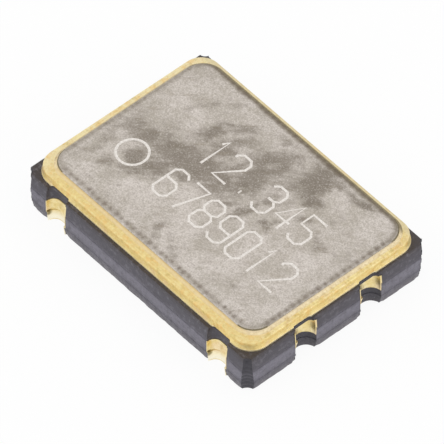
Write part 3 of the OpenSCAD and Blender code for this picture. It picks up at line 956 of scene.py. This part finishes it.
def nearSides(x, y):  # each side of the lid with its distance
    across, along = x - lidMiddle[0], y - lidMiddle[1]
    return {
        "left": lidHalf[0] + across, "right": lidHalf[0] - across,
        "near": lidHalf[1] + along, "far": lidHalf[1] - along}


def weldMarks():
    # middle, reach along X and Y, and strength of the marks along the four straight edges
    p = lidPlate
    chance = random.Random(p["weldSeed"])
    stray, offLine = p["weldJitter"]
    marks = []
    for axis, sides in ((0, ("near", "far")), (1, ("left", "right"))):
        reach = lidHalf[axis] - p["cornerFree"]
        count = int(2 * reach / p["weldPitch"])
        for side in sides:
            inset, _, depth = p["weldSides"][side]
            across = lidHalf[1 - axis] - inset
            across = -across if side in ("near", "left") else across
            for step in range(count + 1):
                along = (step - count / 2) * p["weldPitch"] + chance.uniform(-stray, stray)
                off = across + chance.uniform(-offLine, offLine)
                size = chance.uniform(*p["weldSizes"])
                middle = Vector((along, off)) if axis == 0 else Vector((off, along))
                extent = (p["weldHalf"][axis] * size, p["weldHalf"][1 - axis] * size)
                marks.append((middle + lidMiddle, extent, depth * chance.uniform(*p["weldStrengths"])))
    return marks


def pressWelds(piece, top):
    # the roller's marks and the slope at the lid's edge, kept as attributes for the finish too, with the
    # band's weld tint and painted shade and a painted shade line along the edge
    p = lidPlate
    marks = weldMarks()
    ends, falling, power = p["weldFade"]
    dents, bands, lines = (
        piece.data.attributes.new(name, "FLOAT", "POINT") for name in ("weldDent", "weldTintAndShade", "edgeShade"))
    for point in piece.data.vertices:
        x, y, z = point.co
        if z < top - p["round"]:
            continue
        inward = -outsideOfLid(x, y)
        dent = 0.0
        for middle, (wide, deep), strength in marks:
            away = math.hypot((x - middle.x) / wide, (y - middle.y) / deep)
            if away < ends:
                ragged = 1 + p["raggedness"] * noise.noise(point.co * p["markNoise"])
                dent = max(dent, strength * math.exp(-falling * (away * ragged) ** power))
        sides = nearSides(x, y)
        shares = {side: math.exp(-away / p["sideBlend"]) for side, away in sides.items()}
        inset, dark = (
            sum(shares[side] * p["weldSides"][side][n] for side in shares) / sum(shares.values())
            for n in (0, 1))
        ragged = 1 + p["raggedness"] * noise.noise(point.co * p["bandNoise"])
        dents.data[point.index].value = dent
        bands.data[point.index].value = dark * max(0.0, 1 - abs(inward - inset) / (p["bandWidth"] * ragged))
        # painted shade along the edge: full in the crease at the corners, partly on sides whose band is dark
        if inward < p["lineWidth"]:
            corner = sorted(sides.values())[1] < p["corner"]
            lines.data[point.index].value = 1.0 if corner else max(0.0, dark - p["lineFrom"])
        width, depth, hollow = p["weldSlope"]
        point.co.z -= p["weldDepth"] * dent + depth * max(0.0, 1 - inward / width) ** hollow


def buildLid(paint):
    p = lidPlate
    top = lidHigh.z - p["markHeight"]
    piece = sheetPiece("lid", *(2 * lidHalf), (0, 0), lidLow.z)
    startEditing(piece)
    bpy.ops.mesh.select_all(action="SELECT")
    roundCorners(p["corner"], p["arc"])
    for axis, other in ((0, 1), (1, 0)):
        steps = int(2 * (lidHalf[axis] - p["corner"]) / p["weldPitch"] * p["pitchSteps"])
        for cuts in (steps // p["partSteps"], p["partSteps"] - 1):
            pickEdges(piece, lambda start, end: abs(start[other] - end[other]) < samePoint
                      and abs(start[other]) > lidHalf[other] - samePoint)
            bpy.ops.mesh.subdivide(number_cuts=cuts)
    bpy.ops.mesh.select_mode(type="FACE")
    drawUp(top - p["round"] - lidLow.z)
    for step in range(p["roundSteps"]):
        before, after = (math.pi / 2 * n / p["roundSteps"] for n in (step, step + 1))
        bpy.ops.mesh.inset(
            thickness=p["round"] * (math.cos(before) - math.cos(after)),
            depth=p["round"] * (math.sin(after) - math.sin(before)))
    for step in range(p["bandRows"]):
        bpy.ops.mesh.inset(thickness=p["bandStep"], depth=0)
    stopEditing()
    closeShape(piece)
    piece.data.transform(Matrix.Translation((*lidMiddle, 0)))
    pressWelds(piece, top)
    finishPiece(piece, "lidPlate", paint, ["lid"], smoothAngle=50)
    print("lid done", len(piece.data.polygons), "faces")


weldBead = {
    "size": 0.07,
    "bevelShare": 0.98,  # a bevel over the whole size would leave no foot
    "profile": 0.086,  # a bevel profile this low is a hollow quarter circle
    "steps": 6,
}


def buildBead(paint):
    b = weldBead
    corner, arc = lidPlate["corner"], lidPlate["arc"]
    top = lidLow.z + b["size"]
    outer = lidHalf + Vector((b["size"], b["size"]))
    piece = platePiece("bead", outer, corner + b["size"], lidLow.z, top, arc, centre=lidMiddle)
    startEditing(piece)
    pickTopEdges(piece, top)
    bpy.ops.mesh.bevel(
        offset=b["size"] * b["bevelShare"], segments=b["steps"], profile=b["profile"], affect="EDGES")
    stopEditing()
    inside = platePiece(
        "inside", lidHalf, corner, lidLow.z - overrun, lidLow.z + overrun, arc, centre=lidMiddle)
    combine(piece, inside, "DIFFERENCE")
    finishPiece(piece, "weldBead", paint, ["weld_fillet"])


digitStrokes = {  # single-stroke digits on a grid 4 wide and 8 high
    "1": [[(1.2, 6.6), (2, 8), (2, 0)]],
    "2": [[(0, 6.4), (0, 7), (1, 8), (3, 8), (4, 7), (4, 5.4), (0, 0), (4, 0)]],
    "3": [[(0, 7), (1, 8), (3, 8), (4, 7), (4, 5), (3, 4.2), (1.4, 4.2)],
          [(3, 4.2), (4, 3.3), (4, 1), (3, 0), (1, 0), (0, 1)]],
    "4": [[(3, 0), (3, 8), (0, 2.6), (4, 2.6)]],
    "5": [[(4, 8), (0, 8), (0, 4.6), (3, 4.6), (4, 3.6), (4, 1), (3, 0), (1, 0), (0, 1)]],
    "6": [[(4, 7), (3, 8), (1, 8), (0, 7), (0, 1), (1, 0), (3, 0), (4, 1), (4, 3.6), (3, 4.6), (0, 4.6)]],
    "7": [[(0, 8), (4, 8), (1.4, 0)]],
    "8": [[(3, 4.2), (1, 4.2), (0, 5), (0, 7), (1, 8), (3, 8), (4, 7), (4, 5), (3, 4.2), (4, 3.3), (4, 1),
           (3, 0), (1, 0), (0, 1), (0, 3.3), (1, 4.2)]],
    "9": [[(0, 1), (1, 0), (3, 0), (4, 1), (4, 7), (3, 8), (1, 8), (0, 7), (0, 4.6), (1, 3.6), (4, 3.6)]],
    "0": [[(1, 0), (0, 1), (0, 7), (1, 8), (3, 8), (4, 7), (4, 1), (3, 0), (1, 0)]],
    ".": [[(1.8, 0.9), (2.2, 0.9)]],
}

lidMarking = {
    "lines": (("12.345", 0.19), ("6789012", -1.04)),  # plain numbers, and the height of their foot along Y
    "left": -1.225,
    "pitch": 0.5675,
    "unit": 0.1035,  # size of one grid step
    "stroke": 0.060,
    "dotStroke": 0.10,
    "sunk": 0.02,  # no stroke reaches deeper into the lid than this
    "ringMiddle": (-2.18, -0.675),  # the mark for terminal 1
    "ringRadius": 0.355,
    "ringSides": 24,
}


def strokeCurve(name, paths, width):
    curve = bpy.data.curves.new(name, "CURVE")
    curve.dimensions = "3D"
    curve.bevel_depth = width / 2
    curve.bevel_resolution = 2
    curve.use_fill_caps = True
    for path in paths:
        spline = curve.splines.new("POLY")
        spline.points.add(len(path) - 1)
        for point, (x, y) in zip(spline.points, path):
            point.co = (x, y, 0, 1)
    piece = bpy.data.objects.new(name, curve)
    bpy.context.collection.objects.link(piece)
    return piece


def buildMarking(paint):
    m = lidMarking
    height = lidPlate["markHeight"]
    thin, thick = [], []
    for text, foot in m["lines"]:
        for number, digit in enumerate(text):
            left = m["left"] + number * m["pitch"]
            for stroke in digitStrokes[digit]:
                path = [(left + x * m["unit"], foot + y * m["unit"]) for x, y in stroke]
                (thick if digit == "." else thin).append(path)
    turns = [math.tau * n / m["ringSides"] for n in range(m["ringSides"] + 1)]
    middle, radius = m["ringMiddle"], m["ringRadius"]
    circle = [(middle[0] + radius * math.cos(t), middle[1] + radius * math.sin(t)) for t in turns]
    parts = [
        strokeCurve("marking", thin + [circle], m["stroke"]), strokeCurve("dots", thick, m["dotStroke"])]
    for part in parts:
        makeActive(part)
        bpy.ops.object.convert(target="MESH")
        part.data.transform(Matrix.Scale(2 * height / m["stroke"], 4, (0, 0, 1)))
    piece = joinAll(parts)
    for point in piece.data.vertices:
        point.co.z = max(-m["sunk"], min(point.co.z, height)) + lidHigh.z - height
    finishPiece(piece, "lidMarking", paint)


lidStains = (  # X, Y, turn in degrees, half length, half width and strength of each dark patch
    (0.35, 1.20, 52, 1.20, 0.80, 0.52),
    (-1.30, 0.10, 12, 1.70, 0.60, 0.48),
    (-1.05, 0.05, 12, 1.25, 0.45, 1.0),
    (-2.35, -0.15, 10, 0.65, 0.28, 0.85),
    (-1.55, -0.55, 80, 0.45, 0.30, 0.9),
    (-2.05, -0.70, 0, 0.30, 0.25, 0.85),
    (-1.85, -0.98, 20, 0.25, 0.15, 0.7),
    (-2.40, -1.22, 60, 0.20, 0.15, 0.6),
    (-1.50, 0.95, 75, 0.45, 0.17, 0.8),
    (-1.20, 1.45, 40, 0.40, 0.15, 0.75),
    (-0.85, 1.10, 60, 0.35, 0.25, 0.6),
    (-0.95, 0.75, 0, 0.30, 0.30, 0.7),
    (-0.45, 0.70, 90, 0.40, 0.12, 0.7),
    (-0.05, 1.15, 50, 0.55, 0.42, 0.9),
    (0.10, 0.65, 60, 0.45, 0.33, 0.9),
    (0.15, -0.05, 90, 0.20, 0.15, 0.5),
    (0.55, 0.00, 80, 0.40, 0.12, 0.8),
    (0.05, 1.60, 40, 0.50, 0.20, 0.7),
    (-0.20, 1.90, 0, 0.30, 0.15, 0.5),
    (0.95, 1.65, 80, 0.60, 0.38, 1.0),
    (1.25, 1.25, 10, 0.25, 0.20, 0.8),
    (1.15, 1.95, 0, 0.50, 0.15, 0.8),
    (1.95, 1.97, 8, 0.40, 0.13, 0.8),
    (0.68, 0.55, 80, 0.20, 0.13, 0.7),
    (1.27, 0.35, 0, 0.12, 0.10, 0.6),
    (1.15, 0.12, 30, 0.17, 0.10, 0.65),
    (1.55, 0.75, 80, 0.20, 0.08, 0.5),
    (2.25, 0.50, 150, 0.35, 0.12, 0.4),
    (2.90, 0.70, 0, 0.20, 0.20, 0.35),
    (-0.20, -1.62, 105, 0.30, 0.10, 0.5),
    (0.40, -1.75, 150, 0.35, 0.12, 0.5),
    (1.85, -1.50, 0, 0.20, 0.12, 0.5),
    (0.60, -1.10, 0, 0.15, 0.15, 0.35),
    (-2.85, -0.75, 90, 0.50, 0.15, 0.45),
    (2.00, 1.15, 0, 0.12, 0.08, 0.5),
    (-2.15, 1.25, 65, 0.40, 0.10, 0.4),
    (-1.70, 1.75, 60, 0.20, 0.08, 0.5),
)


def lidPaint():
    paint = Paint("lidMetal", metallic=1.0)
    place = paint.place()
    wander = paint.speckle(place, 1.3, 3.0, 0.6)
    streaks = paint.speckle(paint.stretch(place, (0.8, 0.22, 1), 40), 1.4, 5.0, 0.68)
    mottled = paint.speckle(place, 4.2, 5.0, 0.72)
    fine = paint.speckle(place, 13.0, 4.0, 0.72)
    grain = paint.speckle(place, 30.0, 3.0, 0.7)
    pushed = paint.wobble(place, 2.6, 0.16)
    stained = None
    for x, y, turn, length, width, strength in lidStains:
        spot = paint.stretch(pushed, (length * 1.75, width * 1.75, 1), turn, (x, y, lidHigh.z))
        blob = paint.node("ShaderNodeTexGradient", {"gradient_type": "SPHERICAL"}, {"Vector": spot})
        blob = paint.fade(blob, 0.0, 0.85) * strength
        stained = blob if stained is None else paint.sum("MAXIMUM", stained, blob)
    rough = 1.6 * (streaks - 0.5) + 1.9 * (mottled - 0.5) + 1.4 * (fine - 0.5)
    dark = paint.fade(stained + rough, -0.04, 1.06)
    tint = paint.fade(0.35 * wander + 0.3 * mottled + 0.35 * fine, 0.40, 0.60)
    dent, band, line = (
        paint.node("ShaderNodeAttribute", {"attribute_name": name}, output="Fac")
        for name in ("weldDent", "weldTintAndShade", "edgeShade"))
    clean = paint.blend(tint, tone(190, 182, 171), tone(225, 217, 210))
    soiled = paint.blend(tint, tone(136, 127, 115), tone(162, 153, 143))
    colour = paint.blend(dark, clean, soiled)
    colour = paint.layOver(
        colour,
        (streaks, 0.54, 0.74, 0.25, (176, 162, 140)),
        (grain, 0.42, 0.72, 0.50, (146, 137, 127)),
        (grain, 0.48, 0.30, 0.45, (234, 228, 222)))
    # the weld band: heat tint, and painted shade that is darkest on the far side
    colour = paint.blend(band * (0.5 + 0.8 * fine), colour, tone(118, 106, 86))
    colour = paint.blend(dent * (0.35 + grain), colour, tone(124, 112, 102))
    # painted shade in the crease along the lid's edge
    colour = paint.blend(line * 0.8, colour, tone(108, 98, 62))
    paint.set("Base Color", colour)
    paint.set("Roughness", 0.38 + 0.16 * mottled + 0.1 * dark)
    paint.relief(0.5 * grain + 0.5 * mottled, 0.000005)
    return paint


def beadPaint():
    paint = Paint("weldMetal", metallic=1.0)
    place = paint.place()
    patches = paint.speckle(place, 7.0, 3.0, 0.6)
    specks = paint.speckle(place, 18.0, 4.0, 0.65)
    colour = paint.blend(paint.fade(patches, 0.35, 0.65), tone(244, 229, 192), tone(230, 212, 172))
    across, along, height = (paint.part(place, axis) for axis in "XYZ")
    colour = paint.layOver(
        colour,
        (specks, 0.50, 0.66, 0.5, (212, 184, 124)),
        (specks, 0.50, 0.34, 0.4, (255, 244, 210)),
        (height, lidLow.z + 0.015, lidLow.z + 0.05, 0.7, (240, 232, 214)),
        (along, -2.06, -2.14, 0.7, (236, 216, 166)),
        # painted shade over the bead on the far long side and the left side
        (along, 2.05, 2.20, 0.8, (132, 121, 96)),
        (across, -3.10, -3.20, 0.3, (150, 138, 112)))
    paint.set("Base Color", colour)
    paint.set("Roughness", 0.5 + 0.2 * patches)
    paint.relief(patches, 0.000006)
    return paint


def markPaint():
    paint = Paint("laserMark", metallic=0.55)
    place = paint.place()
    broken = paint.speckle(place, 22.0, 3.0, 0.7)
    colour = paint.blend(paint.fade(broken, 0.35, 0.7), tone(242, 237, 231), tone(220, 213, 206))
    paint.set("Base Color", colour)
    paint.set("Roughness", 0.5 + 0.2 * broken)
    paint.relief(broken, 0.000004)
    return paint


# Finishes of the parts inside, which keep their own meshes

def innerPaint(name, light, dark, scale, metallic, roughness, bump=0.000002):
    paint = Paint(name, metallic=metallic)
    place = paint.place()
    cloudy = paint.speckle(place, scale, 3.0, 0.6)
    grain = paint.speckle(place, scale * 8, 2.0, 0.7)
    paint.set("Base Color", paint.blend(paint.fade(cloudy, 0.3, 0.7), tone(*light), tone(*dark)))
    paint.set("Roughness", roughness + 0.2 * grain)
    paint.relief(grain, bump)
    return paint


def quartzPaint():
    paint = innerPaint("quartzBlank", (226, 232, 236), (206, 214, 220), 1.5, 0.0, 0.18)
    paint.set("Transmission Weight", 0.55)
    paint.set("IOR", 1.54)
    return paint


def diePaint():
    # a grid of fine traces over dark silicon
    paint = Paint("siliconDie", metallic=0.35)
    place = paint.place()
    blocks = paint.node(
        "ShaderNodeTexBrick", {"offset": 0.37, "squash": 1.6, "squash_frequency": 3}, {
            "Vector": place, "Color1": tone(92, 92, 116), "Color2": tone(70, 76, 92),
            "Mortar": tone(168, 160, 128), "Scale": 6.0, "Mortar Size": 0.03, "Brick Width": 0.8,
            "Row Height": 0.5})
    paint.set("Base Color", blocks)
    paint.set("Roughness", 0.22 + 0.2 * paint.speckle(place, 20.0))
    return paint


def dressInside():
    film = innerPaint("silverFilm", (222, 221, 216), (196, 194, 188), 3.0, 1.0, 0.2)
    finishes = {
        "crystal_blank": quartzPaint(),
        "electrode_top": film,
        "electrode_bottom": film,
        "crystal_rest": innerPaint("printedRest", (186, 178, 160), (160, 150, 130), 9.0, 0.7, 0.45),
        "die_attach": innerPaint("dieAttach", (176, 174, 170), (150, 148, 144), 12.0, 0.5, 0.45),
        "oscillator_die": diePaint(),
    }
    gold = innerPaint("innerGold", (238, 214, 150), (220, 190, 120), 5.0, 1.0, 0.3)
    for node in ("crystal_pad_1", "crystal_pad_2", "die_pad", "bond_fingers", "bond_wires"):
        finishes[node] = gold
    glue = innerPaint("silverAdhesive", (190, 188, 184), (158, 156, 152), 10.0, 0.6, 0.5, 0.000006)
    for node in ("adhesive_spot_1", "adhesive_spot_2"):
        finishes[node] = glue
    for node, paint in finishes.items():
        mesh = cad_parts[node].data
        mesh.materials.clear()
        mesh.materials.append(paint.material)
    print("inner parts dressed", len(finishes))


# Camera, floor and light

viewpoint = {
    "distance": 0.240,  # metres
    "azimuth": 48.727,  # degrees
    "elevation": 49.725,
    "roll": -0.091,
    "target": (0, 0, 0.00062),
    "slide": (0.000081, 0.000076),  # how far the camera stands to the left of the target and below it
    "pixelsPerMillimetre": 47.995,  # at the target, in the photograph's frame
    "frameWidth": 444,
    "sensor": 36,
    "reach": (0.001, 10),  # nearest and furthest that the camera sees
}


def addCamera():
    v = viewpoint
    azimuth, elevation, roll = (math.radians(v[key]) for key in ("azimuth", "elevation", "roll"))
    back = Vector((
        math.sin(azimuth) * math.cos(elevation), -math.cos(azimuth) * math.cos(elevation),
        math.sin(elevation)))
    level = Vector((math.cos(azimuth), math.sin(azimuth), 0))
    upright = back.cross(level)
    right = level * math.cos(roll) + upright * math.sin(roll)
    up = upright * math.cos(roll) - level * math.sin(roll)
    data = bpy.data.cameras.new("camera")
    data.sensor_width = v["sensor"]
    data.lens = v["pixelsPerMillimetre"] * v["distance"] * perMetre * v["sensor"] / v["frameWidth"]
    data.clip_start, data.clip_end = v["reach"]
    camera = bpy.data.objects.new("camera", data)
    place = Vector(v["target"]) + back * v["distance"] - right * v["slide"][0] - up * v["slide"][1]
    camera.matrix_world = Matrix.Translation(place) @ Matrix((right, up, back)).transposed().to_4x4()
    bpy.context.collection.objects.link(camera)
    bpy.context.scene.camera = camera


white = (1, 1, 1, 1)

studio = {
    "floorHalf": 1.0,  # metres
    "floorColour": (0.92, 0.92, 0.92, 1),
    "worldLight": 0.96,
    "floorGlow": 0.92,  # share of the floor's look that doesn't take a shadow
    "lamps": (  # place, width, power in watts
        ((-0.10, -0.35, 0.30), 0.20, 0.06),
        ((0.35, 0.10, 0.25), 0.20, 0.08),
    ),
}


def floorMaterial():
    # glows where it is seen, so that it stays nearly white, and is clear from below
    material = bpy.data.materials.new("paleFloor")
    material.use_nodes = True
    nodes = Nodes(material.node_tree)
    nodes.tree.nodes.remove(nodes.tree.nodes["Principled BSDF"])
    direct, mirrored, through = (
        nodes.node("ShaderNodeLightPath", output=f"Is {kind} Ray")
        for kind in ("Camera", "Glossy", "Transmission"))
    seen = nodes.sum("MAXIMUM", nodes.sum("MAXIMUM", direct, mirrored), through)
    matt = nodes.node("ShaderNodeBsdfDiffuse", inputs={"Color": studio["floorColour"]})
    glow = nodes.node("ShaderNodeEmission", inputs={"Color": white})
    bright = nodes.node("ShaderNodeMixShader", inputs={0: seen * studio["floorGlow"], 1: matt, 2: glow})
    below = nodes.node("ShaderNodeNewGeometry", output="Backfacing")
    clear = nodes.node("ShaderNodeBsdfTransparent")
    onlyAbove = nodes.node("ShaderNodeMixShader", inputs={0: below, 1: bright, 2: clear})
    nodes.join(nodes.tree.nodes["Material Output"].inputs["Surface"], onlyAbove)
    return material


def addFloor():
    clearSelection()
    bpy.ops.mesh.primitive_plane_add(size=2 * studio["floorHalf"])
    floor = bpy.context.object
    floor.name = "floor"
    floor.data.materials.append(floorMaterial())


def addLight():
    world = bpy.data.worlds.new("studio")
    world.use_nodes = True
    bpy.context.scene.world = world
    nodes = Nodes(world.node_tree)
    sky = nodes.tree.nodes["Background"].inputs
    seen = nodes.node("ShaderNodeLightPath", output="Is Camera Ray")
    strength = nodes.node(
        "ShaderNodeMapRange", inputs={"Value": seen, "To Min": studio["worldLight"], "To Max": 1.0})
    nodes.join(sky["Color"], white)
    nodes.join(sky["Strength"], strength)
    for number, (place, width, power) in enumerate(studio["lamps"], 1):
        lamp = bpy.data.lights.new(f"softbox{number}", "AREA")
        lamp.size = width
        lamp.energy = power
        holder = bpy.data.objects.new(f"softbox{number}", lamp)
        holder.location = place
        holder.rotation_euler = (-Vector(place)).to_track_quat("-Z", "Y").to_euler()
        bpy.context.collection.objects.link(holder)


addCamera()
buildCeramic()
contactGold = platingPaint()
buildFrame(framePaint())
buildRing(ringPaint())
buildTerminals(contactGold)
buildContacts(contactGold)
print("gold parts done")
buildLid(lidPaint())
buildBead(beadPaint())
buildMarking(markPaint())
print("bead and marking done")
dressInside()
addFloor()
addLight()
print("floor and light done")

bpy.context.scene.view_settings.view_transform = "Standard"
